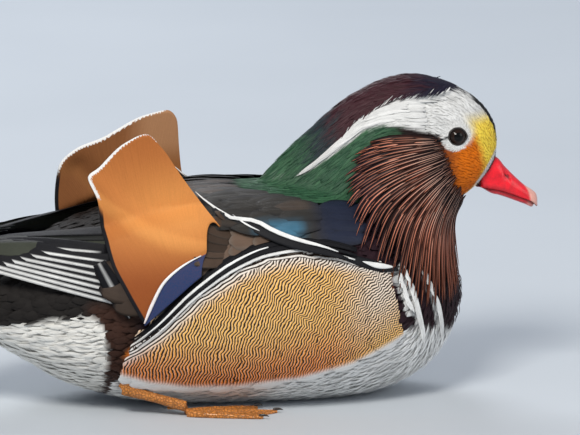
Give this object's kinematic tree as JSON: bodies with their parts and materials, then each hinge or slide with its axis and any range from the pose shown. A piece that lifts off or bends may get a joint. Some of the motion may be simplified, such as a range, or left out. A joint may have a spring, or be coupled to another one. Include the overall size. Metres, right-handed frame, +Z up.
{
  "type": "mandarin duck, drake in breeding plumage, resting",
  "caption": "Life-size still model of a male mandarin duck sitting on its belly, with crest, ruff, raised sail feathers, folded wings, fan tail and tucked webbed feet.",
  "frame": {"origin": "centre of the flat belly patch that the bird rests on, at floor level under the middle of the body", "axes": "+X forward along the body to the bill, +Y to the bird's left, +Z up"},
  "size_m": [0.332, 0.1172, 0.1579],
  "materials": {
    "breast_feather": "dense maroon black breast feathers with white bars, white below",
    "neck_feather": "short dark brown neck feathers",
    "face_feather": "short white to orange face feathers",
    "crest_feather": "long crest feathers, maroon to metallic green",
    "ruff_feather": "narrow chestnut hackles with pale shafts",
    "flank_feather": "golden buff feathers with fine black wavy bars",
    "wing_feather": "dark brown and grey flight feathers with silver edges",
    "scapular_feather": "glossy blue black shoulder feathers, one edged white",
    "sail_feather": "stiff cinnamon orange vane with a blue outer web",
    "tail_feather": "dark brown tail quills over white undertail feathers",
    "bill_horn": "smooth crimson horn with a pale nail",
    "eye_dark": "wet and glossy, near black",
    "foot_skin": "orange scaled skin"
  },
  "bodies": {
    "root": {"torso": "breast_feather", "neck": "neck_feather", "head": "face_feather", "bill_upper": "bill_horn", "bill_lower": "bill_horn", "eye_right": "eye_dark", "eye_left": "eye_dark", "crest": "crest_feather", "ruff_right": "ruff_feather", "ruff_left": "ruff_feather", "scapulars_right": "scapular_feather", "scapulars_left": "scapular_feather", "wing_right": "wing_feather", "wing_left": "wing_feather", "sail_right": "sail_feather", "sail_left": "sail_feather", "flank_right": "flank_feather", "flank_left": "flank_feather", "tail": "tail_feather", "leg_right": "foot_skin", "leg_left": "foot_skin"}
  },
  "joints": []
}
